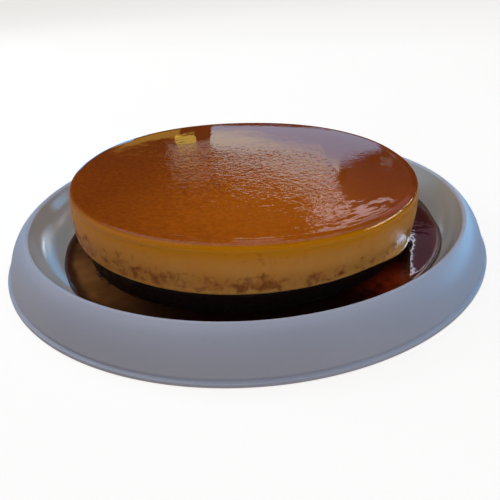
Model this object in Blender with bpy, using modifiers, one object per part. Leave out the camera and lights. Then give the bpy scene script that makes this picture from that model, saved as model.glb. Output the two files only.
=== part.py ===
"""Chocoflan: a custard flan with a caramel top on a chocolate cake, in a syrup pool in its white dish."""

import math

import bmesh
import bpy
from mathutils import Vector

# Driving dimensions, in metres. The dish stands on z = 0 with its axis on the origin.
SEGMENTS = 72
GAP = 0.0003

# Dish
FLOOR_TOP = 0.0050
FLOOR_EDGE_RADIUS = 0.1160
FOOT_RADIUS = 0.1130
CREST_RADIUS = 0.1392
CREST_HEIGHT = 0.0242
CREST_ROUND = 0.0015
INNER_WALL_TURN = math.radians(75.0)
INNER_WALL_STEPS = 7
SKIRT_FOOT_RADIUS = 0.1521
SKIRT_FOOT_HEIGHT = 0.0033
SKIRT_BULGE = 0.55
SKIRT_STEPS = 7
STANDING_BAND = 0.0040
RECESS_DEPTH = 0.0015
RECESS_SLOPE = 0.0012
GROOVE_DEPTH = 0.0008
GROOVE_HEIGHT = 0.0007
FLANGE_RADIUS = 0.1541
FLANGE_HEIGHT = 0.0023
FLANGE_ROUND = 0.0007

# Syrup pool
SYRUP_LEVEL = 0.0066
SYRUP_WALL_STEPS = 4

# Cake and flan, both a little in front of the dish's axis and lower at the right
FOOD_X = -0.0003
FOOD_Y = -0.0048
CAKE_SLOPE = -0.015
FLAN_SLOPE = -0.032
CAKE_BASE_RADIUS = 0.1035
CAKE_TOP_RADIUS = 0.1065
CAKE_TOP = 0.0196
CAKE_STEPS = 5
CAKE_WAVE = 0.0006
FLAN_BASE_RADIUS = 0.1084
FLAN_TOP_RADIUS = 0.1096
FLAN_TOP = 0.0433
FLAN_STEPS = 5
FLAN_BULGE = 0.0006
FLAN_WAVE = 0.0003
FLAN_EDGE_ROUND = 0.0012
TOP_NARROWING = 0.006
TOP_SHIFT = 0.0009
TOP_SQUARENESS = 0.0010
CARAMEL_RADIUS = 0.1101
CARAMEL_TOP = 0.0475
CARAMEL_ROUND = 0.0024
CARAMEL_ROUND_STEPS = 5
CARAMEL_RINGS = (0.35, 0.72)
CARAMEL_SWELL = 0.0002


def clear_scene():
    for item in list(bpy.data.objects):
        bpy.data.objects.remove(item, do_unlink=True)


def new_collection(name):
    made = bpy.data.collections.new(name)
    bpy.context.scene.collection.children.link(made)
    return made


def make_material(name, color, roughness, coat=0.0):
    material = bpy.data.materials.new(name)
    material.use_nodes = True
    shader = material.node_tree.nodes["Principled BSDF"]
    shader.inputs["Base Color"].default_value = (*color, 1.0)
    shader.inputs["Roughness"].default_value = roughness
    shader.inputs["Metallic"].default_value = 0.0
    shader.inputs["Coat Weight"].default_value = coat
    return material


def dish_material():
    return make_material("white_glaze", (0.80, 0.81, 0.84), 0.12)


def syrup_material():
    return make_material("dark_syrup", (0.10, 0.025, 0.008), 0.06)


def cake_material():
    return make_material("moist_chocolate", (0.018, 0.009, 0.006), 0.45)


def flan_material():
    return make_material("custard", (0.56, 0.30, 0.075), 0.35)


def caramel_material():
    return make_material("caramel", (0.42, 0.115, 0.012), 0.10, coat=0.6)


def finish(obj, collection, material, sharp_degrees):
    """Links the object, gives it its material and shades it smooth but for its sharp edges."""
    collection.objects.link(obj)
    obj.data.materials.append(material)
    obj.data.shade_smooth()
    obj.data.set_sharp_from_angle(angle=math.radians(sharp_degrees))
    return obj


def angles():
    return [2.0 * math.pi * i / SEGMENTS for i in range(SEGMENTS)]


def mesh_from_rings(name, rings, looped, cap_first=None, cap_last=None):
    """A closed mesh from rings of points. Looped rings close on themselves, and the others get centre points."""
    mesh = bpy.data.meshes.new(name)
    bm = bmesh.new()
    rows = [[bm.verts.new(point) for point in ring] for ring in rings]
    pairs = list(zip(rows, rows[1:]))
    if looped:
        pairs.append((rows[-1], rows[0]))
    for low, high in pairs:
        for i in range(SEGMENTS):
            j = (i + 1) % SEGMENTS
            bm.faces.new((low[i], low[j], high[j], high[i]))
    for row, centre in ((rows[0], cap_first), (rows[-1], cap_last)):
        if centre is None:
            continue
        hub = bm.verts.new(centre)
        for i in range(SEGMENTS):
            bm.faces.new((row[i], row[(i + 1) % SEGMENTS], hub))
    bmesh.ops.recalc_face_normals(bm, faces=bm.faces)
    bm.to_mesh(mesh)
    bm.free()
    return bpy.data.objects.new(name, mesh)


# ---------------------------------------------------------------- dish


def inner_wall_point(turn):
    """A point (radius, height) of the concave inner wall, turned by an angle from the floor up."""
    top_radius = CREST_RADIUS - CREST_ROUND * math.sin(INNER_WALL_TURN)
    top_height = CREST_HEIGHT - CREST_ROUND + CREST_ROUND * math.cos(INNER_WALL_TURN)
    run = (top_radius - FLOOR_EDGE_RADIUS) / math.sin(INNER_WALL_TURN)
    rise = (top_height - FLOOR_TOP) / (1.0 - math.cos(INNER_WALL_TURN))
    return (
        FLOOR_EDGE_RADIUS + run * math.sin(turn),
        FLOOR_TOP + rise * (1.0 - math.cos(turn)),
    )


def inner_wall_normal(turn):
    """The unit normal (radius, height) of the inner wall, towards the hollow."""
    step = 0.001
    low = inner_wall_point(turn - step)
    high = inner_wall_point(turn + step)
    across = Vector((low[1] - high[1], high[0] - low[0]))
    return across.normalized()


def skirt_point(share):
    """A point (radius, height) of the outer wall, from the crest (0) to its foot (1), bulging outwards."""
    start_radius = CREST_RADIUS + CREST_ROUND * 0.8
    start_height = CREST_HEIGHT - CREST_ROUND * 0.4
    quarter = share * math.pi / 2.0
    round_radius = start_radius + (SKIRT_FOOT_RADIUS - start_radius) * math.sin(quarter)
    round_height = SKIRT_FOOT_HEIGHT + (start_height - SKIRT_FOOT_HEIGHT) * math.cos(quarter)
    straight_radius = start_radius + (SKIRT_FOOT_RADIUS - start_radius) * share
    straight_height = start_height + (SKIRT_FOOT_HEIGHT - start_height) * share
    return (
        straight_radius + (round_radius - straight_radius) * SKIRT_BULGE,
        straight_height + (round_height - straight_height) * SKIRT_BULGE,
    )


def dish_profile():
    """The dish's section from the middle of its floor, over the crest and round the foot, back to the axis."""
    points = [(0.0, FLOOR_TOP)]
    for i in range(INNER_WALL_STEPS + 1):
        points.append(inner_wall_point(INNER_WALL_TURN * i / INNER_WALL_STEPS))
    points.append((CREST_RADIUS - CREST_ROUND * 0.5, CREST_HEIGHT - CREST_ROUND * 0.13))
    points.append((CREST_RADIUS, CREST_HEIGHT))
    for i in range(SKIRT_STEPS + 1):
        points.append(skirt_point(i / SKIRT_STEPS))
    groove_radius = SKIRT_FOOT_RADIUS - GROOVE_DEPTH
    points.append((groove_radius, SKIRT_FOOT_HEIGHT - GROOVE_HEIGHT * 0.5))
    points.append((groove_radius + GROOVE_DEPTH * 0.4, FLANGE_HEIGHT))
    points.append((FLANGE_RADIUS - FLANGE_ROUND, FLANGE_HEIGHT))
    points.append((FLANGE_RADIUS, FLANGE_HEIGHT - FLANGE_ROUND))
    points.append((FLANGE_RADIUS, FLANGE_ROUND))
    points.append((FLANGE_RADIUS - FLANGE_ROUND, 0.0))
    band_inside = FLANGE_RADIUS - STANDING_BAND
    points.append((band_inside, 0.0))
    points.append((band_inside - RECESS_SLOPE, RECESS_DEPTH))
    points.append((FOOT_RADIUS + RECESS_SLOPE, RECESS_DEPTH))
    points.append((FOOT_RADIUS, 0.0))
    points.append((0.0, 0.0))
    return points


def build_dish(collection):
    mesh = bpy.data.meshes.new("dish")
    points = [(radius, 0.0, height) for radius, height in dish_profile()]
    mesh.from_pydata(points, [(i, i + 1) for i in range(len(points) - 1)], [])
    obj = bpy.data.objects.new("dish", mesh)
    collection.objects.link(obj)
    obj.data.materials.append(dish_material())
    screw = obj.modifiers.new("turn", "SCREW")
    screw.axis = "Z"
    screw.angle = 2.0 * math.pi
    screw.steps = SEGMENTS
    screw.render_steps = SEGMENTS
    screw.use_merge_vertices = True
    screw.merge_threshold = 0.00001
    screw.use_smooth_shade = True
    return obj


# ---------------------------------------------------------------- food


def wave(angle, height, size):
    """A small smooth unevenness round the food, at most about the given size."""
    total = math.sin(3.0 * angle + 0.7) + 0.7 * math.sin(5.0 * angle - 1.9 + 60.0 * height)
    total += 0.5 * math.sin(8.0 * angle + 2.4 - 90.0 * height)
    return size * total / 2.2


def food_point(angle, radius, height):
    """A point of the food: the cake and still more the flan are thinner at the right, and the top is out of round."""
    if height <= CAKE_TOP:
        slope = CAKE_SLOPE * max(height - FLOOR_TOP, 0.0) / (CAKE_TOP - FLOOR_TOP)
        share = 0.0
    else:
        share = min((height - CAKE_TOP) / (FLAN_TOP - CAKE_TOP), 1.0)
        slope = CAKE_SLOPE + (FLAN_SLOPE - CAKE_SLOPE) * share
    swelling = 1.0 - TOP_SQUARENESS / FLAN_TOP_RADIUS * share * math.cos(4.0 * angle)
    across = radius * swelling * math.cos(angle) * (1.0 - TOP_NARROWING * share)
    return (
        FOOD_X + TOP_SHIFT * share + across,
        FOOD_Y + radius * swelling * math.sin(angle),
        height + slope * across,
    )


def cake_radius(angle, height):
    share = (height - FLOOR_TOP) / (CAKE_TOP - FLOOR_TOP)
    plain = CAKE_BASE_RADIUS + (CAKE_TOP_RADIUS - CAKE_BASE_RADIUS) * share
    return plain + wave(angle, height, CAKE_WAVE)


def flan_radius(angle, height):
    share = (height - CAKE_TOP) / (FLAN_TOP - CAKE_TOP)
    plain = FLAN_BASE_RADIUS + (FLAN_TOP_RADIUS - FLAN_BASE_RADIUS) * share
    bulge = FLAN_BULGE * math.sin(math.pi * min(max(share, 0.0), 1.0))
    return plain + bulge + wave(angle + 1.1, height, FLAN_WAVE)


def build_cake(collection):
    low = FLOOR_TOP + GAP
    high = CAKE_TOP
    rings = []
    for i in range(CAKE_STEPS + 1):
        height = low + (high - low) * i / CAKE_STEPS
        rings.append([food_point(a, cake_radius(a, height), height) for a in angles()])
    hubs = (food_point(0.0, 0.0, low), food_point(0.0, 0.0, high))
    obj = mesh_from_rings("chocolate_cake", rings, False, *hubs)
    return finish(obj, collection, cake_material(), 50.0)


def build_flan(collection):
    low = CAKE_TOP + GAP
    high = FLAN_TOP - GAP
    rings = []
    edge = [food_point(a, flan_radius(a, low) - FLAN_EDGE_ROUND, low) for a in angles()]
    rings.append(edge)
    for i in range(FLAN_STEPS + 1):
        height = low + FLAN_EDGE_ROUND + (high - low - FLAN_EDGE_ROUND) * i / FLAN_STEPS
        rings.append([food_point(a, flan_radius(a, height), height) for a in angles()])
    hubs = (food_point(0.0, 0.0, low), food_point(0.0, 0.0, high))
    obj = mesh_from_rings("flan", rings, False, *hubs)
    return finish(obj, collection, flan_material(), 50.0)


def build_caramel(collection):
    rings = [[food_point(a, flan_radius(a, FLAN_TOP), FLAN_TOP) for a in angles()]]
    for i in range(CARAMEL_ROUND_STEPS + 1):
        turn = math.pi / 2.0 * i / CARAMEL_ROUND_STEPS
        inset = CARAMEL_ROUND * (1.0 - math.cos(turn))
        height = CARAMEL_TOP - CARAMEL_ROUND * (1.0 - math.sin(turn))
        rings.append(
            [food_point(a, CARAMEL_RADIUS + wave(a + 1.1, 0.0, FLAN_WAVE) - inset, height) for a in angles()]
        )
    for share in reversed(CARAMEL_RINGS):
        ring = []
        for a in angles():
            height = CARAMEL_TOP + CARAMEL_SWELL * math.sin(2.0 * a + 7.0 * share)
            ring.append(food_point(a, CARAMEL_RADIUS * share, height))
        rings.append(ring)
    hubs = (food_point(0.0, 0.0, FLAN_TOP), food_point(0.0, 0.0, CARAMEL_TOP))
    obj = mesh_from_rings("caramel_layer", rings, False, *hubs)
    return finish(obj, collection, caramel_material(), 50.0)


def turn_at_height(height):
    """The turn of the inner wall's point whose inset copy lies at this height."""
    low = 0.0
    high = INNER_WALL_TURN
    for _ in range(40):
        middle = (low + high) / 2.0
        if inner_wall_point(middle)[1] + inner_wall_normal(middle).y * GAP < height:
            low = middle
        else:
            high = middle
    return low


def build_syrup(collection):
    """The pool: its outside lies on the dish's wall, and its inside goes round the cake."""
    bottom = FLOOR_TOP + GAP
    last_turn = turn_at_height(SYRUP_LEVEL)
    rings = []
    for i in range(SYRUP_WALL_STEPS + 1):
        turn = last_turn * i / SYRUP_WALL_STEPS
        radius, height = inner_wall_point(turn)
        normal = inner_wall_normal(turn)
        radius += normal.x * GAP
        height += normal.y * GAP
        rings.append([(radius * math.cos(a), radius * math.sin(a), height) for a in angles()])
    for height in (SYRUP_LEVEL, bottom):
        ring = []
        for a in angles():
            x, y, _ = food_point(a, cake_radius(a, height) + GAP, height)
            ring.append((x, y, height))
        rings.append(ring)
    obj = mesh_from_rings("syrup", rings, True)
    return finish(obj, collection, syrup_material(), 40.0)


def main():
    clear_scene()
    collection = new_collection("chocoflan")
    build_dish(collection)
    build_syrup(collection)
    build_cake(collection)
    build_flan(collection)
    build_caramel(collection)


main()
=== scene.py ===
"""Looks of a chocoflan: a custard flan with a caramel top on a chocolate cake, in syrup in a white dish."""

import math

import bmesh
import bpy
import numpy as np
from bpy.props import FloatProperty, FloatVectorProperty, IntProperty, PointerProperty
from mathutils import Matrix, Vector


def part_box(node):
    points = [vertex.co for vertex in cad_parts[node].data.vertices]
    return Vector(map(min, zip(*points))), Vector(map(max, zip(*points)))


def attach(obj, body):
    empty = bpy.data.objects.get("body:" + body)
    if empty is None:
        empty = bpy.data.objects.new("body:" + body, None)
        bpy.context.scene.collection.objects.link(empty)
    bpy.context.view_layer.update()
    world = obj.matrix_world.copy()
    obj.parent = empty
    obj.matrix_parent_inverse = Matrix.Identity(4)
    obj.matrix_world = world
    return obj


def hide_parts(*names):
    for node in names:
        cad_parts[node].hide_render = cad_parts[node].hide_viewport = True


bl_info = {
    "name": "Chocoflan",
    "version": (1, 0, 0),
    "blender": (4, 5, 0),
    "location": "3D View > Sidebar > Chocoflan",
    "description": "Makes a chocoflan in its dish, one piece at a time",
    "category": "Object",
}

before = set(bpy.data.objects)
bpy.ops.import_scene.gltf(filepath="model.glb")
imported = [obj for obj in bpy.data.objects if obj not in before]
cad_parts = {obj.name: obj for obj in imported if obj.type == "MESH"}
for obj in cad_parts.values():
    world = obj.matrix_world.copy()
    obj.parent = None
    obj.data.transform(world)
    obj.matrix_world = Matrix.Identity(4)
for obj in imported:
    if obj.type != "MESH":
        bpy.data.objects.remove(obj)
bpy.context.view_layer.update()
DISH_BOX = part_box("dish")

FULL_TURN = 2.0 * math.pi
SHARP_TURN = math.radians(60.0)
INNER_WALL_TURN = math.radians(75.0)
INNER_WALL_ROWS = 22
# Rounds of the crest and of the groove over the ledge: first angle, last angle and steps.
CREST_ARC = (160.0, 52.0, 8)
GROOVE_ARC = (170.0, 270.0, 5)
# Where the outer wall leaves the crest, in crest roundings outwards and down.
SKIRT_START = (0.8, 0.4)
SKIRT_PARTS = np.linspace(0.03, 1.0, 26)
FLOOR_RINGS = (0.12, 0.3, 0.5, 0.7, 0.85, 0.95)
# The rounding of the groove over the ledge, and its centre out from the wall's foot and up from the ledge.
GROOVE_ROUND = 0.0006
GROOVE_CENTRE = (0.0002, 0.0005)
# Widths and the height of the bevels beside the recess under the rim.
BEVEL_WIDTH = 0.0006
BEVEL_HEIGHT = 0.0008
RECESS_EDGE = 0.0018
RECESS_FLAT = 0.012
# Waves round a ring: size in metres, waves in a turn, and start. The dish sways more the higher it gets.
DISH_SWAY = ((0.00022, 2.0, 0.6), (0.00012, 5.0, 2.0))
DISH_STILL_TO = 0.003
DISH_SWAY_RISE = 0.02
SHORE_RIPPLES = ((0.00012, 11.0, 0.0), (0.00008, 23.0, 1.3))
# The cake stands so far over the dish's floor, and the flan so far over the cake.
LAYER_GAP = 0.0003
CAKE_ROWS = 24
CAKE_BASE_RINGS = (0.3, 0.8, 0.97)
CAKE_TOP_RINGS = (0.95, 0.8, 0.3)
CAKE_EDGE_ROUND = 0.0012
CAKE_EDGE_HEIGHT = 0.002
CAKE_PORE_SHARE = 0.45
FLAN_ROWS = 44
# Where the custard is most stained, where its stains reach highest and where its painted light is strongest,
# in degrees.
STAINS_AT = 243.0
HIGH_STAINS_AT = 205.0
PAINTED_LIGHT_AT = 305.0
# How far the rounded foot of the flan stands in, ring by ring, and its top, in metres.
FLAN_FOOT_INSETS = (0.0040, 0.0013, 0.0008, 0.0003, 0.0001)
FLAN_TOP_INSET = 0.0003
# How far the flan's hidden top face starts inside its edge, and how far it reaches up into the caramel.
FLAN_COVERED = 0.006
FLAN_SINK = 0.0002
CARAMEL_EDGE_ROWS = 12
# How far the caramel's hidden face starts inside the flan's side, and how far its foot stands out over it.
CARAMEL_COVERED = 0.004
CARAMEL_PROUD = 0.00003
# The spacing of the caramel's long folds follows its radius; along the rim they are stretched to this radius.
FOLD_RADIUS = 0.028
# Where the long folds and the beads of the caramel are strongest, in degrees.
FOLDS_AT = -48.0
BEADS_AT = -34.4
# The band where the crumbs lie: from the cake's side outwards, and its thickness.
CRUMB_BAND = (-0.0002, 0.0012)
CRUMB_BAND_DEPTH = 0.0006
# How many points go round each piece; the caramel's top is a grid of so many cells a side.
DISH_POINTS = 300
SYRUP_POINTS = 900
CAKE_POINTS = 1000
FLAN_POINTS = 1250
CARAMEL_CELLS = 268
CRUMB_BAND_POINTS = 240
# The syrup's outline, anticlockwise from the right: turns in degrees, and the radius at each in metres.
SHORE_TURNS = (-90.0, -45.0, -37.0, -24.0, -5.0, 8.0, 40.0, 100.0, 180.0, 190.0, 201.0, 211.0, 220.0, 232.0)
SHORE_NEAR = (0.1280, 0.1288, 0.1290, 0.1279, 0.1255, 0.1262, 0.1255)
SHORE_RADII = (*SHORE_NEAR, 0.1210, 0.1176, 0.1192, 0.1207, 0.1230, 0.1264, 0.1282)
SHORE_SMOOTHINGS = 120
# The rows of points from the dish to the cake lie closer together near both ends.
SYRUP_PARTS = 0.5 - 0.5 * np.cos(np.linspace(0.0, math.pi, 40))
SYRUP_UNDER_PARTS = (0.0, 0.4, 0.75, 0.95)
# How thin the syrup gets on the wall, how far its underside sinks into the dish and its end into the cake.
SYRUP_FILM = 0.0001
SYRUP_SINK = 0.0002
SYRUP_UNDER_CAKE = 0.0008
CREEP_WIDTH = 0.0011
SYRUP_CALM_WIDTH = 0.004
# Painted light in the syrup, a lit patch at the left and a red glow at the front right: middle across and
# along, and width.
PAINTED_LIGHT_SPOT = (-0.100, -0.058, 0.030)
PAINTED_GLOW_SPOT = (0.076, -0.088, 0.011)


# ---------------------------------------------------------------- settings


def length(name, description, default):
    return FloatProperty(name=name, description=description, default=default, unit="LENGTH", precision=5)


def share(name, description, default):
    return FloatProperty(
        name=name, description=description, default=default, subtype="FACTOR", min=0.0, max=1.0
    )


def bearing(name, description, default):
    return FloatProperty(name=name, description=description, default=default, subtype="ANGLE")


def amount(name, description, default):
    return FloatProperty(name=name, description=description, default=default)


def colour(name, description, default):
    return FloatVectorProperty(
        name=name, description=description, default=default, size=3, subtype="COLOR", min=0.0, max=1.0
    )


class DishSettings(bpy.types.PropertyGroup):
    """Sizes and colours of the white dish."""

    floor_top: length("Floor height", "Height of the inside floor", 0.0050)
    floor_radius: length("Floor radius", "Radius of the flat inside floor", 0.1160)
    foot_radius: length("Foot radius", "Radius of the flat foot", 0.1130)
    crest_radius: length("Crest radius", "Radius of the rim's highest line", 0.1392)
    crest_height: length("Crest height", "Height of the rim", DISH_BOX[1].z)
    crest_round: length("Crest rounding", "Rounding of the rim's edge", 0.0018)
    skirt_radius: length("Skirt radius", "Radius at the foot of the outer wall", 0.1521)
    skirt_height: length("Skirt foot height", "Height where the outer wall ends", 0.0033)
    skirt_bulge: share("Skirt bulge", "How far the outer wall bulges", 0.55)
    flange_radius: length("Flange radius", "Radius of the ledge at the foot", DISH_BOX[1].x)
    flange_height: length("Flange height", "Height of the ledge at the foot", 0.0023)
    flange_round: length("Flange rounding", "Rounding of the ledge's edges", 0.0007)
    standing_band: length("Standing band", "Width of the band that the ledge stands on", 0.0040)
    recess_depth: length("Recess depth", "Depth of the recess under the rim", 0.0015)
    glaze: colour("Glaze", "Colour of the glaze", (0.63, 0.63, 0.66))
    bare_clay: colour("Bare clay", "Colour of the unglazed standing faces", (0.62, 0.57, 0.50))


class FoodSettings(bpy.types.PropertyGroup):
    """Sizes and colours of the cake, the flan, the caramel and the syrup."""

    centre_x: length("Centre X", "Place of the food across the dish", -0.0003)
    centre_y: length("Centre Y", "Place of the food along the dish", -0.0048)
    cake_slope: amount("Cake slope", "Fall of the cake's top to the right", -0.015)
    wet_foot_turn: bearing("Wet foot", "Where the flan's foot sags out", -0.72)
    wet_foot_sag: length("Wet foot sag", "How far the flan's foot sags out there", 0.0042)
    wet_foot_reach: share("Wet foot reach", "How high up the flan the sag reaches", 0.36)
    flan_belly: length("Flan belly", "How far the flan's side swells half way up", 0.0006)
    flan_uneven: length("Flan unevenness", "How uneven the flan's side is", 0.0003)
    cake_uneven: length("Cake unevenness", "How uneven the cake's side is", 0.0006)
    flan_slope: amount("Flan slope", "Fall of the flan's top to the right", -0.032)
    cake_base_radius: length("Cake base radius", "Radius of the cake on the dish", 0.1035)
    cake_top_radius: length("Cake top radius", "Radius of the cake under the flan", 0.1065)
    cake_top: length("Cake top", "Height of the cake's top", 0.0196)
    flan_base_radius: length("Flan base radius", "Radius of the flan's foot", 0.1084)
    flan_top_radius: length("Flan top radius", "Radius of the flan under the caramel", 0.1096)
    flan_top: length("Flan top", "Height of the custard's top", 0.0433)
    caramel_radius: length("Caramel radius", "Radius of the caramel top", 0.1101)
    caramel_top: length("Caramel top", "Height of the caramel's top", 0.0475)
    caramel_round: length("Caramel rounding", "Rounding of the top edge", 0.0034)
    top_narrowing: share("Top narrowing", "How much narrower the top is across", 0.006)
    top_shift: length("Top shift", "Shift of the top to the right", 0.0009)
    top_squareness: length("Top squareness", "How far the top is out of round", 0.0010)
    lip_height: length("Lip height", "Rise of the low lip just inside the caramel's edge", 0.00022)
    lip_width: length("Lip width", "Width of the lip", 0.0013)
    lip_inset: length("Lip inset", "How far inside the rounded edge the lip runs", 0.0022)
    crowning: length("Crowning", "How far the caramel falls towards its rim", 0.0003)
    syrup_level: length("Syrup level", "Height of the syrup", 0.0064)
    syrup_lean: amount("Syrup lean", "Rise of the syrup to the right", 0.0095)
    syrup_climb: length("Syrup climb", "How high the syrup climbs up the cake", 0.0008)
    syrup_uneven: length("Syrup unevenness", "Height of the slow waves on the syrup", 0.00002)
    syrup_swell: amount("Syrup swell", "Rise of the syrup to the front, in 1/m", 0.12)
    caramel_light: colour("Light caramel", "Colour of the thin caramel", (0.73, 0.166, 0.005))
    caramel_dark: colour("Dark caramel", "Colour of the deeper caramel", (0.31, 0.052, 0.002))
    # Painted reflection: the pinkish band on the caramel's rounded edge away from the front.
    rim_painted_reflection: colour("Rim away from the front", "Caramel's edge where it is milky", (0.55, 0.22, 0.085))
    amber: colour("Amber", "Colour of the soaked edge", (1.0, 0.35, 0.003))
    custard: colour("Custard", "Colour of the custard", (0.96, 0.345, 0.030))
    # Painted light: a paler colour for the custard's front right, strongest at its foot.
    custard_painted_light: colour("Pale custard", "Colour of the custard's lower part", (1.0, 0.52, 0.125))
    stain: colour("Stain", "Colour of the soaked pores", (0.36, 0.072, 0.009))
    chocolate: colour("Chocolate", "Colour of the moist cake", (0.012, 0.0055, 0.0035))
    syrup_deep: colour("Deep syrup", "Colour of the deep syrup", (0.014, 0.0030, 0.0022))
    # Painted light in the syrup.
    syrup_warm: colour("Lit syrup", "Syrup that light shines through", (0.46, 0.18, 0.045))
    syrup_glow: colour("Glowing syrup", "Syrup where light gathers", (0.34, 0.032, 0.006))
    syrup_thin: colour("Thin syrup", "Colour of the thin syrup along the edge", (0.100, 0.032, 0.010))
    syrup_film: colour("Syrup film", "Colour of the last film of syrup on the wall", (0.22, 0.125, 0.065))


class StageSettings(bpy.types.PropertyGroup):
    """Light and view."""

    camera_x: length("Camera X", "Place of the camera across", -0.0003)
    camera_y: length("Camera Y", "Place of the camera along", -0.3133)
    camera_z: length("Camera Z", "Height of the camera", 0.1560)
    camera_heading: bearing("Camera heading", "Turn of the camera to the right", math.radians(1.292))
    camera_tilt: bearing("Camera tilt", "How far the camera looks down", math.radians(28.659))
    camera_roll: bearing("Camera roll", "How far the camera is rolled", math.radians(-2.788))
    room: colour("Room", "Dim light of the room", (0.014, 0.014, 0.018))
    table_glow: colour("Table glow", "Light that comes up from below", (0.29, 0.25, 0.225))
    seed: IntProperty(name="Seed", description="Seed of everything uneven", default=7)


class ChocoflanSettings(bpy.types.PropertyGroup):
    """All settings of the chocoflan."""

    dish: PointerProperty(type=DishSettings)
    food: PointerProperty(type=FoodSettings)
    stage: PointerProperty(type=StageSettings)


# ---------------------------------------------------------------- meshes from rings


def even_angles(count):
    return np.arange(count) * (FULL_TURN / count)


def ring_quads(first, second, count):
    here = np.arange(count)
    there = (here + 1) % count
    return np.column_stack([first + here, first + there, second + there, second + here])


def fan(first, hub, count):
    here = np.arange(count)
    there = (here + 1) % count
    return np.column_stack([first + here, first + there, np.full(count, hub)])


def grid_quads(index):
    """The quads of a square grid of point numbers."""
    return np.stack([index[:-1, :-1], index[:-1, 1:], index[1:, 1:], index[1:, :-1]], axis=-1).reshape(-1, 4)


def new_mesh(name, points, faces, values):
    """A smooth mesh object with its faces turned outwards and one attribute for each named list of values."""
    mesh = bpy.data.meshes.new(name)
    mesh.from_pydata(points.tolist(), [], [tuple(face) for part in faces for face in part.tolist()])
    bm = bmesh.new()
    bm.from_mesh(mesh)
    bmesh.ops.recalc_face_normals(bm, faces=bm.faces)
    bm.to_mesh(mesh)
    bm.free()
    for key, value in values.items():
        flat = np.asarray(value, np.float32)
        if flat.ndim == 1:
            mesh.attributes.new(key, "FLOAT", "POINT").data.foreach_set("value", flat)
        else:
            mesh.attributes.new(key, "FLOAT_VECTOR", "POINT").data.foreach_set("vector", flat.ravel())
    mesh.shade_smooth()
    obj = bpy.data.objects.new(name, mesh)
    bpy.context.scene.collection.objects.link(obj)
    return obj


def ring_body(name, rings, values=None, hubs=(None, None), looped=False):
    """A closed body from rings of points. Looped rings close on themselves; others get a hub at each end."""
    rows, count = rings.shape[0], rings.shape[1]
    points = rings.reshape(-1, 3)
    faces = [ring_quads(i * count, (i + 1) * count, count) for i in range(rows - 1)]
    if looped:
        faces.append(ring_quads((rows - 1) * count, 0, count))
    flat = {}
    for key, value in (values or {}).items():
        flat[key] = value.reshape(rows * count, *value.shape[2:])
    for row, hub in ((0, hubs[0]), (rows - 1, hubs[1])):
        if hub is None:
            continue
        faces.append(fan(row * count, len(points), count))
        points = np.vstack([points, [hub]])
        for key, value in flat.items():
            middle = value[row * count : (row + 1) * count].mean(axis=0)
            flat[key] = np.concatenate([value, [middle]])
    return new_mesh(name, points, faces, flat)


def disc_grid(count):
    """An even grid on a unit disc, with no pole: its points, its quads and its outer ring, anticlockwise."""
    side = np.linspace(-1.0, 1.0, count + 1)
    across, along = np.meshgrid(side, side, indexing="xy")
    wide = np.abs(across) >= np.abs(along)
    safe_across = np.where(across == 0.0, 1.0, across)
    safe_along = np.where(along == 0.0, 1.0, along)
    radius = np.where(wide, across, along)
    steep = math.pi / 2.0 - across / safe_along * math.pi / 4.0
    angle = np.where(wide, along / safe_across * math.pi / 4.0, steep)
    index = np.arange((count + 1) ** 2).reshape(count + 1, count + 1)
    outer = np.concatenate([index[:-1, -1], index[-1, :0:-1], index[:0:-1, 0], index[0, :-1]])
    disc = np.column_stack([(radius * np.cos(angle)).ravel(), (radius * np.sin(angle)).ravel()])
    return disc, grid_quads(index), outer


def arc(centre, radius, start, end, steps):
    """Points (radius, height) on a round of the section, by angles in degrees."""
    turns = np.radians(np.linspace(start, end, steps + 1))
    return [(centre[0] + radius * math.cos(t), centre[1] + radius * math.sin(t)) for t in turns]


# ---------------------------------------------------------------- forms of the dish and the food


def inner_wall(dish, turn):
    """Radius and height of the dish's concave inner wall, turned from the floor up."""
    top_radius = dish.crest_radius - dish.crest_round * math.sin(INNER_WALL_TURN)
    top_height = dish.crest_height - dish.crest_round + dish.crest_round * math.cos(INNER_WALL_TURN)
    run = (top_radius - dish.floor_radius) / math.sin(INNER_WALL_TURN)
    rise = (top_height - dish.floor_top) / (1.0 - math.cos(INNER_WALL_TURN))
    return dish.floor_radius + run * np.sin(turn), dish.floor_top + rise * (1.0 - np.cos(turn))


def wall_height(dish, radius):
    """The height of the inner wall, or of the floor, at a radius."""
    run = inner_wall(dish, math.pi / 2.0)[0] - dish.floor_radius
    return inner_wall(dish, np.arcsin(np.clip((radius - dish.floor_radius) / run, 0.0, 1.0)))[1]


def skirt(dish, along):
    """Radius and height of the outer wall, from the crest (0) to its foot (1)."""
    start_radius = dish.crest_radius + dish.crest_round * SKIRT_START[0]
    start_height = dish.crest_height - dish.crest_round * SKIRT_START[1]
    quarter = along * math.pi / 2.0
    round_radius = start_radius + (dish.skirt_radius - start_radius) * np.sin(quarter)
    round_height = dish.skirt_height + (start_height - dish.skirt_height) * np.cos(quarter)
    plain_radius = start_radius + (dish.skirt_radius - start_radius) * along
    plain_height = start_height + (dish.skirt_height - start_height) * along
    return (
        plain_radius + (round_radius - plain_radius) * dish.skirt_bulge,
        plain_height + (round_height - plain_height) * dish.skirt_bulge,
    )


def ripples(angle, rows):
    """The sum of waves round a ring."""
    return sum(size * np.sin(waves * angle + start) for size, waves, start in rows)


def wave(angle, height, size):
    """A smooth unevenness round the food, at most about the given size."""
    rows = ((1.0, 3.0, 0.7), (0.7, 5.0, 60.0 * height - 1.9), (0.5, 8.0, 2.4 - 90.0 * height))
    return size * ripples(angle, rows) / 2.2


def ramp(value, start, width):
    """A share that rises from 0 at the start to 1 over a width."""
    return np.clip((value - start) / width, 0.0, 1.0)


def bell(value, middle, width):
    """A share that is 1 in the middle and fades over a width on both sides."""
    return np.exp(-(((value - middle) / width) ** 2))


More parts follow.
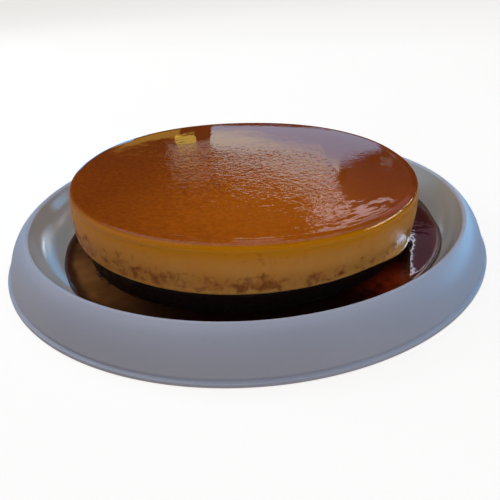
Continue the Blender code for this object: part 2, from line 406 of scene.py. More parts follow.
def towards(angle, degrees):
    """A share from 0 to 1 that is greatest at one turn, given in degrees, and least opposite."""
    return 0.5 + 0.5 * np.cos(angle - math.radians(degrees))


def lobe(angle, middle, width):
    """A smooth share from 0 to 1 that is greatest at one turn; the smaller its width, the narrower it is."""
    return np.exp((np.cos(angle - middle) - 1.0) / width)


def food_points(food, dish, angle, radius, height):
    """Points of the food: cake and flan get thinner to the right, and the top is a little out of round."""
    angle, radius, height = np.broadcast_arrays(angle, radius, height)
    up_cake = ramp(height, dish.floor_top, food.cake_top - dish.floor_top)
    up_flan = ramp(height, food.cake_top, food.flan_top - food.cake_top)
    slope = food.cake_slope * up_cake + (food.flan_slope - food.cake_slope) * up_flan
    swelling = 1.0 - food.top_squareness / food.flan_top_radius * up_flan * np.cos(4.0 * angle)
    across = radius * swelling * np.cos(angle) * (1.0 - food.top_narrowing * up_flan)
    return np.stack(
        [
            food.centre_x + food.top_shift * up_flan + across,
            food.centre_y + radius * swelling * np.sin(angle),
            height + slope * across,
        ],
        axis=-1,
    )


def amber_share(angle):
    """How amber the caramel's edge is round the food: fully at the front, hardly at the left, where the edge
    takes its painted reflection instead.
    """
    return 0.05 + 0.95 * np.clip(0.5 - 0.55 * np.sin(angle) + 0.30 * np.cos(angle), 0.0, 1.0) ** 2


def cake_radius(food, dish, angle, height):
    """The cake's radius at a turn and a height."""
    up = (height - dish.floor_top) / (food.cake_top - dish.floor_top)
    plain = food.cake_base_radius + (food.cake_top_radius - food.cake_base_radius) * up
    return plain + wave(angle, height, food.cake_uneven)


def flan_wave(food, angle, height):
    """The unevenness of the flan's side and of the caramel's edge over it."""
    return wave(angle + 1.1, height, food.flan_uneven)


def flan_radius(food, angle, height):
    """The flan's radius at a turn and a height, with its belly and the foot that sags out."""
    up = (height - food.cake_top) / (food.flan_top - food.cake_top)
    plain = food.flan_base_radius + (food.flan_top_radius - food.flan_base_radius) * up
    sag = food.wet_foot_sag * lobe(angle, food.wet_foot_turn, 0.012)
    plain = plain + sag * np.clip(1.0 - up / food.wet_foot_reach, 0.0, 1.0) ** 2
    return plain + food.flan_belly * np.sin(math.pi * np.clip(up, 0.0, 1.0)) + flan_wave(food, angle, height)


# ---------------------------------------------------------------- node helpers


def put(tree, kind, values=None, **settings):
    """Adds a node with its settings and the values of its sockets."""
    node = tree.nodes.new(kind)
    for key, value in settings.items():
        setattr(node, key, value)
    for key, value in (values or {}).items():
        node.inputs[key].default_value = value
    return node


def join(tree, *pairs):
    for start, end in pairs:
        tree.links.new(start, end)


def calc(tree, operation, first, second=None, third=None, clamp=False):
    """A Math node whose inputs are sockets or numbers; gives its output socket."""
    node = put(tree, "ShaderNodeMath", operation=operation, use_clamp=clamp)
    for socket, value in zip(node.inputs, (first, second, third)):
        if value is None:
            continue
        if isinstance(value, bpy.types.NodeSocket):
            tree.links.new(value, socket)
        else:
            socket.default_value = value
    return node.outputs[0]


def times(tree, first, second):
    return calc(tree, "MULTIPLY", first, second)


def plus(tree, first, second):
    return calc(tree, "ADD", first, second)


def rescale(tree, value, from_low, from_high, to_low=0.0, to_high=1.0):
    """A clamped smooth Map Range of a socket; gives its output socket."""
    node = put(tree, "ShaderNodeMapRange", interpolation_type="SMOOTHSTEP")
    for socket, number in zip(list(node.inputs)[1:5], (from_low, from_high, to_low, to_high)):
        socket.default_value = number
    tree.links.new(value, node.inputs[0])
    return node.outputs[0]


def blend(tree, factor, low, high):
    """A mix of two colours, each a socket or a colour, by a factor socket; gives its output socket."""
    node = put(tree, "ShaderNodeMix", data_type="RGBA")
    tree.links.new(factor, node.inputs["Factor"])
    for socket, value in ((node.inputs[6], low), (node.inputs[7], high)):
        if isinstance(value, bpy.types.NodeSocket):
            tree.links.new(value, socket)
        else:
            socket.default_value = (*value, 1.0)
    return node.outputs[2]


def noise(tree, vector, scale, detail=2.0, roughness=0.5, distortion=0.0, stretch=None):
    """A noise's factor socket on a vector, stretched where asked."""
    if stretch:
        spread = put(tree, "ShaderNodeVectorMath", operation="MULTIPLY")
        spread.inputs[1].default_value = stretch
        tree.links.new(vector, spread.inputs[0])
        vector = spread.outputs[0]
    node = put(
        tree,
        "ShaderNodeTexNoise",
        {"Scale": scale, "Detail": detail, "Roughness": roughness, "Distortion": distortion},
    )
    tree.links.new(vector, node.inputs["Vector"])
    return node.outputs[0]


def finish_material(name, constants):
    """A material with a Principled shader whose even values are set on its own sockets."""
    material = bpy.data.materials.new(name)
    material.use_nodes = True
    tree = material.node_tree
    shader = tree.nodes["Principled BSDF"]
    for key, value in constants.items():
        shader.inputs[key].default_value = value
    place = put(tree, "ShaderNodeTexCoord").outputs["Object"]
    return material, tree, shader, place


def bump(tree, shader, height, strength, distance):
    node = put(tree, "ShaderNodeBump", {"Strength": strength, "Distance": distance})
    join(tree, (height, node.inputs["Height"]), (node.outputs[0], shader.inputs["Normal"]))
    return node


def attribute(tree, name):
    return put(tree, "ShaderNodeAttribute", attribute_name=name).outputs["Fac"]


# ---------------------------------------------------------------- materials


# How fine the patterns of each finish are, in features to a metre.
GLAZE = {"clouds": 14.0, "specks": 1500.0, "clay": 900.0, "smears": 35.0, "waves": 55.0, "pits": 420.0}
SYRUP = {"shore": 60.0, "patches": 55.0, "sparkle": 160.0, "waves": 120.0}
CAKE = {"crumb": 520.0, "soaking": 160.0}
CUSTARD = {"clouds": 60.0, "soaking": 70.0, "blotches": 240.0, "patches": 85.0, "skin": 700.0, "drops": 420.0}
CARAMEL = {"clouds": 16.0, "speckles": 360.0, "grain": 480.0, "beads": 620.0}
FLOOR_CLOUDS = 3.0
# The bare clay ends at this height, and the syrup's zones begin and end so far from its shore, in metres.
BARE_HEIGHT = 0.00012
SHORE_UNEVEN = 0.004
FILM_ZONE = (0.0, 0.0020)
THIN_ZONE = (0.003, 0.0090)
LIT_ZONE = (0.004, 0.010)
GLOSS_ZONE = (0.0015, 0.0060)


def scaled(colour, *factors):
    """A colour with each of its three parts times its factor."""
    return tuple(part * factor for part, factor in zip(colour, factors))


def glaze_material(dish):
    """White glaze, a little uneven, with faint specks, painted shade and bounce light from the food inside,
    and bare clay where the dish stands.
    """
    material, tree, shader, place = finish_material(
        "white_glaze", {"IOR": 1.5, "Coat Weight": 0.0, "Coat Roughness": 0.06}
    )
    inside = attribute(tree, "inside")
    cloud = rescale(tree, noise(tree, place, GLAZE["clouds"], 3.0), 0.3, 0.7)
    tint = blend(tree, cloud, dish.glaze, scaled(dish.glaze, 0.95, 0.955, 0.975))
    # Painted shade and bounce light from the food: the inside is a little darker and yellower than the
    # outside.
    tint = blend(tree, inside, tint, scaled(dish.glaze, 0.96, 0.94, 0.77))
    speck = rescale(tree, noise(tree, place, GLAZE["specks"], 0.0), 0.79, 0.84)
    tint = blend(tree, times(tree, speck, 0.35), tint, (0.42, 0.38, 0.33))
    height = put(tree, "ShaderNodeSeparateXYZ")
    join(tree, (place, height.inputs[0]))
    bare = rescale(tree, height.outputs[2], BARE_HEIGHT, 0.0)
    grain = noise(tree, place, GLAZE["clay"], 3.0)
    clay = blend(tree, grain, dish.bare_clay, scaled(dish.bare_clay, 0.8, 0.8, 0.8))
    join(tree, (blend(tree, bare, tint, clay), shader.inputs["Base Color"]))
    smear = rescale(tree, noise(tree, place, GLAZE["smears"], 4.0, 0.6), 0.35, 0.75, 0.0, 0.07)
    smear = plus(tree, smear, rescale(tree, inside, 0.0, 1.0, 0.34, 0.12))
    join(tree, (calc(tree, "MAXIMUM", smear, times(tree, bare, 0.75)), shader.inputs["Roughness"]))
    pits = times(tree, noise(tree, place, GLAZE["pits"], 1.0), 0.06)
    bump(tree, shader, plus(tree, noise(tree, place, GLAZE["waves"]), pits), 0.12, 0.0012)
    return material


def syrup_material(food):
    """Dark red-brown syrup, amber where it is thin, with patches of painted light."""
    material, tree, shader, place = finish_material(
        "dark_syrup", {"IOR": 1.50, "Coat Weight": 0.0, "Coat Roughness": 0.02}
    )
    shore = times(tree, noise(tree, place, SYRUP["shore"], 3.0), SHORE_UNEVEN)
    shore = plus(tree, attribute(tree, "shore"), shore)
    patches = rescale(tree, noise(tree, place, SYRUP["patches"], 3.0), 0.3, 0.7, 0.5, 1.0)
    # Painted light: the lit patch at the left and the red glow at the front right.
    lit = times(tree, times(tree, attribute(tree, "painted_light"), patches), rescale(tree, shore, *LIT_ZONE))
    body = blend(tree, lit, food.syrup_deep, food.syrup_warm)
    sparkle = rescale(tree, noise(tree, place, SYRUP["sparkle"], 3.0), 0.35, 0.6, 0.3, 1.0)
    body = blend(tree, times(tree, attribute(tree, "glow"), sparkle), body, food.syrup_glow)
    body = blend(tree, rescale(tree, shore, *THIN_ZONE), food.syrup_thin, body)
    body = blend(tree, rescale(tree, shore, *FILM_ZONE), food.syrup_film, body)
    join(tree, (body, shader.inputs["Base Color"]))
    join(tree, (rescale(tree, shore, *GLOSS_ZONE, 0.40, 0.035), shader.inputs["Roughness"]))
    bump(tree, shader, noise(tree, place, SYRUP["waves"]), 0.10, 0.0006)
    return material


def cake_material(food):
    """Nearly black moist crumb, shiny where the syrup has soaked in."""
    constants = {"IOR": 1.4, "Specular IOR Level": 0.3}
    material, tree, shader, place = finish_material("moist_chocolate", constants)
    crumb = noise(tree, place, CAKE["crumb"], 5.0, 0.65)
    brown = scaled(food.chocolate, 2.2, 2.2, 2.2)
    tint = blend(tree, rescale(tree, crumb, 0.42, 0.7), food.chocolate, brown)
    dull = rescale(tree, noise(tree, place, CAKE["soaking"], 3.0), 0.35, 0.65, 0.30, 0.65)
    join(tree, (tint, shader.inputs["Base Color"]), (dull, shader.inputs["Roughness"]))
    bump(tree, shader, crumb, 0.55, 0.0007)
    return material


def custard_material(food):
    """Ochre custard: amber under the caramel, with stained marbling and pores in its lower part, and painted
    light on its front right foot.
    """
    material, tree, shader, place = finish_material(
        "custard",
        {
            "IOR": 1.42,
            "Subsurface Weight": 0.35,
            "Subsurface Radius": (1.0, 0.45, 0.12),
            "Subsurface Scale": 0.004,
            "Specular IOR Level": 0.35,
        },
    )
    stained = attribute(tree, "stain_share")
    wet = attribute(tree, "wet")
    cloud = rescale(tree, noise(tree, place, CUSTARD["clouds"], 4.0), 0.3, 0.7, 0.7, 1.1)
    # Painted light: the front right is paler, most of all at the foot.
    tint = blend(tree, times(tree, attribute(tree, "painted_light_share"), cloud), food.custard, food.custard_painted_light)
    soaked = times(tree, noise(tree, place, CUSTARD["soaking"], 3.0), 0.16)
    soaked = rescale(tree, plus(tree, attribute(tree, "level"), soaked), 0.84, 1.06)
    tint = blend(tree, times(tree, soaked, attribute(tree, "amber_share")), tint, food.amber)
    tint = blend(tree, times(tree, stained, 0.30), tint, food.stain)
    blotch = noise(tree, place, CUSTARD["blotches"], 3.0, 0.60, 0.3)
    blotch = calc(tree, "MULTIPLY_ADD", noise(tree, place, CUSTARD["patches"], 1.0), 0.42, blotch)
    marbling = rescale(tree, calc(tree, "MULTIPLY_ADD", stained, 0.28, blotch), 0.84, 1.16)
    tint = blend(tree, times(tree, marbling, 0.85), tint, food.stain)
    streak = noise(tree, place, CUSTARD["blotches"], 2.0, 0.5, 0.0, (1.0, 1.0, 0.12))
    tint = blend(tree, times(tree, rescale(tree, streak, 0.50, 0.80), 0.09), tint, food.stain)
    tint = blend(tree, times(tree, attribute(tree, "pit"), 0.85), tint, food.stain)
    join(tree, (tint, shader.inputs["Base Color"]))
    dull = rescale(tree, noise(tree, place, CUSTARD["blotches"], 3.0), 0.3, 0.7, 0.30, 0.50)
    dull = calc(tree, "MULTIPLY_ADD", wet, -0.38, dull, clamp=True)
    join(tree, (dull, shader.inputs["Roughness"]))
    skin = calc(tree, "MULTIPLY_ADD", marbling, -0.3, noise(tree, place, CUSTARD["skin"], 3.0))
    drops = times(tree, noise(tree, place, CUSTARD["drops"], 1.0), wet)
    bump(tree, shader, calc(tree, "MULTIPLY_ADD", drops, 3.5, skin), 0.30, 0.00045)
    return material


def caramel_material(food):
    """Glossy caramel, finely grained, amber round its edge at the front, with a painted reflection on its
    edge elsewhere.
    """
    material, tree, shader, place = finish_material(
        "caramel",
        {
            "IOR": 1.45,
            "Subsurface Weight": 0.25,
            "Subsurface Radius": (1.0, 0.3, 0.05),
            "Subsurface Scale": 0.003,
            "Coat Weight": 0.0,
            "Coat Roughness": 0.04,
        },
    )
    edge = attribute(tree, "edge")
    grained = attribute(tree, "grain_share")
    cloud = times(tree, noise(tree, place, CARAMEL["clouds"], 3.0), 0.35)
    speckle = rescale(tree, noise(tree, place, CARAMEL["speckles"], 3.0, 0.6), 0.36, 0.66)
    cloud = plus(tree, cloud, times(tree, times(tree, speckle, grained), 0.35))
    # Lighter towards the front middle.
    cloud = plus(tree, cloud, attribute(tree, "front_lightness"))
    tint = blend(tree, rescale(tree, cloud, 0.0, 1.0), food.caramel_dark, food.caramel_light)
    # The edge is amber at the front and carries the painted reflection elsewhere.
    rim = blend(tree, attribute(tree, "amber_share"), food.rim_painted_reflection, food.amber)
    tint = blend(tree, rescale(tree, edge, 0.20, 0.60), tint, rim)
    join(tree, (tint, shader.inputs["Base Color"]))
    fine = times(tree, noise(tree, place, CARAMEL["grain"], 1.0), grained)
    beads = times(tree, noise(tree, place, CARAMEL["beads"], 1.0), attribute(tree, "bead_share"))
    bump(tree, shader, calc(tree, "MULTIPLY_ADD", beads, 2.2, fine), 0.45, 0.00030)
    smooth = rescale(tree, grained, 0.15, 0.60, 0.032, 0.058)
    gloss = calc(tree, "MAXIMUM", smooth, rescale(tree, edge, 0.7, 0.95, 0.0, 0.35))
    join(tree, (gloss, shader.inputs["Roughness"]))
    return material


def floor_material():
    """A plain pale floor that glows a little, so that it stays pale in every view."""
    constants = {"Roughness": 0.85, "Specular IOR Level": 0.1, "Emission Color": (1.0, 0.985, 0.955, 1.0)}
    material, tree, shader, place = finish_material("pale_floor", constants)
    tint = blend(tree, noise(tree, place, FLOOR_CLOUDS, 3.0), (0.36, 0.35, 0.33), (0.38, 0.37, 0.35))
    height = put(tree, "ShaderNodeSeparateXYZ")
    join(tree, (tint, shader.inputs["Base Color"]), (place, height.inputs[0]))
    join(tree, (rescale(tree, height.outputs[2], 0.0, 1.5, 0.81, 0.90), shader.inputs["Emission Strength"]))
    return material


# ---------------------------------------------------------------- geometry node trees


def new_tree(name, numbers):
    """A geometry tree with its mesh, named numbers, a seed and a material as inputs."""
    tree = bpy.data.node_groups.new(name, "GeometryNodeTree")
    face = tree.interface
    face.new_socket("Geometry", in_out="INPUT", socket_type="NodeSocketGeometry")
    for key in numbers:
        face.new_socket(key, in_out="INPUT", socket_type="NodeSocketFloat")
    face.new_socket("Seed", in_out="INPUT", socket_type="NodeSocketFloat")
    face.new_socket("Material", in_out="INPUT", socket_type="NodeSocketMaterial")
    face.new_socket("Geometry", in_out="OUTPUT", socket_type="NodeSocketGeometry")
    return tree, put(tree, "NodeGroupInput"), put(tree, "NodeGroupOutput")


def end_tree(tree, start, end, geometry):
    """Ends a tree with its instances realized and its material set."""
    real = put(tree, "GeometryNodeRealizeInstances")
    paint = put(tree, "GeometryNodeSetMaterial")
    join(
        tree,
        (geometry, real.inputs[0]),
        (real.outputs[0], paint.inputs["Geometry"]),
        (start.outputs["Material"], paint.inputs["Material"]),
        (paint.outputs[0], end.inputs[0]),
    )


def tree_noise(tree, vector, spacing, seed, detail, shift=0.0):
    """Noise from -1 to 1 whose features lie about a spacing apart, in a geometry tree."""
    scale = calc(tree, "DIVIDE", 1.0, spacing)
    node = put(tree, "ShaderNodeTexNoise", {"Detail": detail}, noise_dimensions="4D")
    join(
        tree,
        (vector, node.inputs["Vector"]),
        (scale, node.inputs["Scale"]),
        (plus(tree, seed, shift), node.inputs["W"]),
    )
    return calc(tree, "MULTIPLY_ADD", node.outputs[0], 2.0, -1.0)


def push_out(tree, geometry, height):
    """Moves each point along its normal by a height socket; gives the geometry socket."""
    normal = put(tree, "GeometryNodeInputNormal")
    offset = put(tree, "ShaderNodeVectorMath", operation="SCALE")
    move = put(tree, "GeometryNodeSetPosition")
    join(
        tree,
        (normal.outputs[0], offset.inputs[0]),
        (height, offset.inputs["Scale"]),
        (geometry, move.inputs["Geometry"]),
        (offset.outputs[0], move.inputs["Offset"]),
    )
    return move.outputs[0]


def named(tree, name, kind="FLOAT"):
    node = put(tree, "GeometryNodeInputNamedAttribute", {"Name": name}, data_type=kind)
    return node.outputs["Attribute"]


def caramel_ripple_tree():
    """A slow swell over the whole top, and ripples, grain and beads where their shares ask for them."""
    heights = ("Ripple height", "Swell height", "Grain height", "Bead height")
    spacings = ("Ripple spacing", "Swell spacing", "Grain spacing", "Bead spacing")
    tree, start, end = new_tree("caramel_ripples", heights + spacings)
    seed = start.outputs["Seed"]
    place = put(tree, "GeometryNodeInputPosition").outputs[0]
    flow = named(tree, "flow", "FLOAT_VECTOR")
    swell = tree_noise(tree, place, start.outputs["Swell spacing"], seed, 1.0, 5.0)
    height = times(tree, swell, start.outputs["Swell height"])
    kinds = (("Ripple", flow, 1.5, 0.0), ("Grain", place, 1.0, 11.0), ("Bead", place, 0.0, 17.0))
    for kind, vector, detail, shift in kinds:
        relief = tree_noise(tree, vector, start.outputs[f"{kind} spacing"], seed, detail, shift)
        relief = times(tree, relief, named(tree, f"{kind.lower()}_share"))
        height = calc(tree, "MULTIPLY_ADD", relief, start.outputs[f"{kind} height"], height)
    end_tree(tree, start, end, push_out(tree, start.outputs["Geometry"], height))
    return tree


def pore_tree(name):
    """Small pits sunk into a side where its pore share asks for them, and a fine unevenness."""
    tree, start, end = new_tree(
        name, ("Pore depth", "Pore spacing", "Pore radius", "Uneven height", "Uneven spacing")
    )
    seed = start.outputs["Seed"]
    place = put(tree, "GeometryNodeInputPosition").outputs[0]
    cells = put(tree, "ShaderNodeTexVoronoi")
    moved = put(tree, "ShaderNodeVectorMath", operation="ADD")
    pick = put(tree, "ShaderNodeSeparateXYZ")
    join(
        tree,
        (place, moved.inputs[0]),
        (seed, moved.inputs[1]),
        (moved.outputs[0], cells.inputs["Vector"]),
        (calc(tree, "DIVIDE", 1.0, start.outputs["Pore spacing"]), cells.inputs["Scale"]),
        (cells.outputs["Color"], pick.inputs[0]),
    )
    reach = calc(tree, "MULTIPLY_ADD", pick.outputs[0], 0.7, 0.3)
    reach = times(tree, reach, start.outputs["Pore radius"])
    hollow = calc(tree, "SUBTRACT", 1.0, calc(tree, "DIVIDE", cells.outputs["Distance"], reach), clamp=True)
    hollow = calc(tree, "SMOOTH_MIN", times(tree, hollow, 1.8), 1.0, 0.2)
    chosen = calc(tree, "LESS_THAN", pick.outputs[1], named(tree, "pore_share"))
    pit = times(tree, hollow, chosen)
    keep = put(tree, "GeometryNodeStoreNamedAttribute", {"Name": "pit"}, data_type="FLOAT", domain="POINT")
    join(tree, (start.outputs["Geometry"], keep.inputs["Geometry"]), (pit, keep.inputs["Value"]))
    uneven = tree_noise(tree, place, start.outputs["Uneven spacing"], seed, 3.0, 9.0)
    uneven = times(tree, uneven, start.outputs["Uneven height"])
    height = calc(tree, "SUBTRACT", uneven, times(tree, pit, start.outputs["Pore depth"]))
    end_tree(tree, start, end, push_out(tree, keep.outputs[0], height))
    return tree


def crumb_tree():
    """Rough little crumbs strewn over a band, each of its own size and turn."""
    tree, start, end = new_tree("loose_crumbs", ("Crumb density", "Smallest crumb", "Largest crumb"))
    whole_seed = put(tree, "FunctionNodeFloatToInt")
    strew = put(tree, "GeometryNodeDistributePointsOnFaces")
    lump = put(tree, "GeometryNodeMeshIcoSphere", {"Radius": 1.0, "Subdivisions": 2})
    place = put(tree, "GeometryNodeInputPosition").outputs[0]
    rough = tree_noise(tree, place, 0.9, start.outputs["Seed"], 2.0)
    body = push_out(tree, lump.outputs["Mesh"], times(tree, rough, 0.55))
    size = put(tree, "FunctionNodeRandomValue", data_type="FLOAT")
    turn = put(tree, "FunctionNodeRandomValue", data_type="FLOAT_VECTOR")
    turn.inputs[1].default_value = (FULL_TURN, FULL_TURN, FULL_TURN)
    strewn = put(tree, "GeometryNodeInstanceOnPoints")
    join(
        tree,
        (start.outputs["Seed"], whole_seed.inputs[0]),
        (start.outputs["Geometry"], strew.inputs["Mesh"]),
        (start.outputs["Crumb density"], strew.inputs["Density"]),
        (whole_seed.outputs[0], strew.inputs["Seed"]),
        (start.outputs["Smallest crumb"], size.inputs[2]),
        (start.outputs["Largest crumb"], size.inputs[3]),
        (whole_seed.outputs[0], size.inputs["Seed"]),
        (whole_seed.outputs[0], turn.inputs["Seed"]),
        (strew.outputs["Points"], strewn.inputs["Points"]),
        (body, strewn.inputs["Instance"]),
        (turn.outputs[0], strewn.inputs["Rotation"]),
        (size.outputs[1], strewn.inputs["Scale"]),
    )
    end_tree(tree, start, end, strewn.outputs[0])
    return tree


def grow(obj, tree, material, seed, **numbers):
    """Runs a geometry tree on a piece, its inputs set by identifier, and keeps the result as a plain mesh."""
    modifier = obj.modifiers.new(tree.name, "NODES")
    modifier.node_group = tree
    wanted = {key.replace("_", " ").capitalize(): value for key, value in numbers.items()}
    wanted.update({"Seed": float(seed), "Material": material})
    for item in tree.interface.items_tree:
        if item.in_out == "INPUT" and item.name in wanted:
            modifier[item.identifier] = wanted[item.name]
    bpy.context.view_layer.update()
    made = bpy.data.meshes.new_from_object(obj.evaluated_get(bpy.context.evaluated_depsgraph_get()))
    if not made.polygons:
        raise RuntimeError(f"{obj.name}: the tree made no faces")
    obj.modifiers.remove(modifier)
    made.name = obj.name
    made.shade_smooth()
    made.set_sharp_from_angle(angle=SHARP_TURN)
    obj.data = made
    if material.name not in [m.name for m in made.materials if m]:
        made.materials.clear()
        made.materials.append(material)
    return obj


def settle(obj, slot, *nodes):
    """Ties a finished piece to the object's body and hides the solids that it stands for; its material slot
    is not used.
    """
    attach(obj, "root")
    if nodes:
        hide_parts(*nodes)


# ---------------------------------------------------------------- operators


def settings_of(context):
    """The settings of the dish, of the food and of the stage."""
    every = context.scene.chocoflan
    return every.dish, every.food, every.stage


class MakeDish(bpy.types.Operator):
    """Makes the glazed dish with its concave wall, thin crest, bulging skirt, groove and ledge."""

    bl_idname = "chocoflan.make_dish"
    bl_label = "Dish"

    def execute(self, context):
        dish = settings_of(context)[0]
        section = [(dish.floor_radius * part, dish.floor_top) for part in FLOOR_RINGS]
        for turn in np.linspace(0.0, INNER_WALL_TURN, INNER_WALL_ROWS):
            section.append(inner_wall(dish, turn))
        wall_rows = len(section)
        centre = (dish.crest_radius, dish.crest_height - dish.crest_round)
        section += arc(centre, dish.crest_round, *CREST_ARC)
        for along in SKIRT_PARTS:
            section.append(skirt(dish, along))
        groove = (dish.skirt_radius + GROOVE_CENTRE[0], dish.flange_height + GROOVE_CENTRE[1])
        section += arc(groove, GROOVE_ROUND, *GROOVE_ARC)
        corner = dish.flange_radius - dish.flange_round
        section += arc((corner, dish.flange_height - dish.flange_round), dish.flange_round, 90.0, 0.0, 5)
        section += arc((corner, dish.flange_round), dish.flange_round, 0.0, -90.0, 5)
        band = dish.flange_radius - dish.standing_band
        foot, depth = dish.foot_radius, dish.recess_depth
        section += [(band, 0.0), (band - BEVEL_WIDTH, BEVEL_HEIGHT), (band - RECESS_EDGE, depth)]
        section += [(band - RECESS_FLAT, depth), (foot + RECESS_FLAT, depth), (foot + RECESS_EDGE, depth)]
        section += [(foot + BEVEL_WIDTH, BEVEL_HEIGHT), (foot, 0.0), (foot * 0.8, 0.0), (foot * 0.3, 0.0)]
        angle = even_angles(DISH_POINTS)
        sway = ripples(angle, DISH_SWAY)
        rings = []
        for radius, height in section:
            lift = ramp(height, DISH_STILL_TO, DISH_SWAY_RISE)
            out = radius + lift * sway
            rings.append(np.stack([out * np.cos(angle), out * np.sin(angle), height + 0.5 * lift * sway], -1))
        rings = np.array(rings)
        # The inside's painted shade and bounce light, and its glossier finish, end over the first rows of the
        # crest.
        inside = np.zeros(rings.shape[:2])
        inside[: wall_rows - 2] = 1.0
        inside[wall_rows - 2 : wall_rows + 3] = np.linspace(1.0, 0.0, 5)[:, None]
        hubs = ((0.0, 0.0, dish.floor_top), (0.0, 0.0, 0.0))
        obj = ring_body("dish_glazed", rings, {"inside": inside}, hubs)
        obj.data.materials.append(glaze_material(dish))
        settle(obj, "white_glaze", "dish")
        return {"FINISHED"}


class MakeSyrup(bpy.types.Operator):
    """Makes the syrup pool, which creeps a little up the dish's wall and the cake."""

    bl_idname = "chocoflan.make_syrup"
    bl_label = "Syrup"

    def execute(self, context):
        dish, food = settings_of(context)[:2]
        angle = even_angles(SYRUP_POINTS)
        edge_radius = np.interp(np.degrees(angle), SHORE_TURNS, SHORE_RADII, period=360.0)
        for _ in range(SHORE_SMOOTHINGS):
            edge_radius = 0.5 * edge_radius + 0.25 * (np.roll(edge_radius, 1) + np.roll(edge_radius, -1))
        edge_radius = edge_radius + ripples(angle, SHORE_RIPPLES)
        edge_height = wall_height(dish, edge_radius) + SYRUP_FILM
        outer = np.stack([edge_radius * np.cos(angle), edge_radius * np.sin(angle)], -1)
        cake = cake_radius(food, dish, angle, food.syrup_level) - SYRUP_UNDER_CAKE
        inner = food_points(food, dish, angle, cake, food.syrup_level)[:, :2]
        width = np.linalg.norm(outer - inner, axis=1)
        rings = []
        shores = []
        for along in SYRUP_PARTS:
            flat = outer + (inner - outer) * along
            from_wall = width * along
            from_cake = width * (1.0 - along)
            height = food.syrup_level + food.syrup_lean * flat[:, 0]
            height = height + food.syrup_swell * np.clip(-flat[:, 1], 0.0, 0.09) ** 2
            height = height + food.syrup_climb * np.exp(-from_cake / CREEP_WIDTH)
            slow = np.sin(flat[:, 0] * 210.0 + 1.0) * np.sin(flat[:, 1] * 170.0)
            height = height + food.syrup_uneven * ramp(from_wall, 0.0, SYRUP_CALM_WIDTH) * slow
            height = height + (edge_height - height) * np.exp(-from_wall / CREEP_WIDTH)
            ground = wall_height(dish, np.linalg.norm(flat, axis=1)) + SYRUP_FILM
            shores.append(from_wall)
            rings.append(np.column_stack([flat, np.maximum(height, ground)]))
        rings.append(np.column_stack([inner, np.full(len(angle), dish.floor_top - SYRUP_SINK)]))
        shores.append(width)
        for part in SYRUP_UNDER_PARTS:
            radius = dish.floor_radius + (edge_radius - dish.floor_radius) * part
            height = wall_height(dish, radius) - SYRUP_SINK
            rings.append(np.stack([radius * np.cos(angle), radius * np.sin(angle), height], -1))
            shores.append(np.zeros(len(angle)))
        rings = np.array(rings)
        x, y = rings[..., 0], rings[..., 1]
        values = {"shore": np.array(shores)}
        for name, (middle_x, middle_y, width) in {"painted_light": PAINTED_LIGHT_SPOT, "glow": PAINTED_GLOW_SPOT}.items():
            values[name] = np.exp(-((x - middle_x) ** 2 + (y - middle_y) ** 2) / (2.0 * width**2))
        obj = ring_body("syrup_pool", rings, values, looped=True)
        obj.data.materials.append(syrup_material(food))
        settle(obj, "dark_syrup", "syrup")
        return {"FINISHED"}


class MakeCake(bpy.types.Operator):
    """Makes the moist chocolate cake with its crumbly side."""

    bl_idname = "chocoflan.make_cake"
    bl_label = "Chocolate cake"

    def execute(self, context):
        dish, food, stage = settings_of(context)
        angle = even_angles(CAKE_POINTS)
        low = dish.floor_top + LAYER_GAP
        base = cake_radius(food, dish, angle, low)
        rings = [food_points(food, dish, angle, base * part, low) for part in CAKE_BASE_RINGS]
        for height in np.linspace(low, food.cake_top, CAKE_ROWS):
            near_top = np.clip((height - food.cake_top) / CAKE_EDGE_HEIGHT + 1.0, 0.0, 1.0)
            radius = cake_radius(food, dish, angle, height) - CAKE_EDGE_ROUND * near_top**2
            rings.append(food_points(food, dish, angle, radius, height))
        for part in CAKE_TOP_RINGS:
            rings.append(food_points(food, dish, angle, food.cake_top_radius * part, food.cake_top))
        rings = np.array(rings)
        pore = np.full(rings.shape[:2], CAKE_PORE_SHARE)
        pore[: len(CAKE_BASE_RINGS) + 1] = 0.0
        pore[-len(CAKE_TOP_RINGS) - 1 :] = 0.0
        hubs = [food_points(food, dish, 0.0, 0.0, h).tolist() for h in (low, food.cake_top)]
        obj = ring_body("chocolate_cake_crumb", rings, {"pore_share": pore}, hubs)
        grow(
            obj,
            pore_tree("cake_crumb"),
            cake_material(food),
            stage.seed + 2,
            pore_depth=0.0006,
            pore_spacing=0.0026,
            pore_radius=0.55,
            uneven_height=0.0005,
            uneven_spacing=0.0035,
        )
        settle(obj, "moist_chocolate", "chocolate_cake")
        return {"FINISHED"}


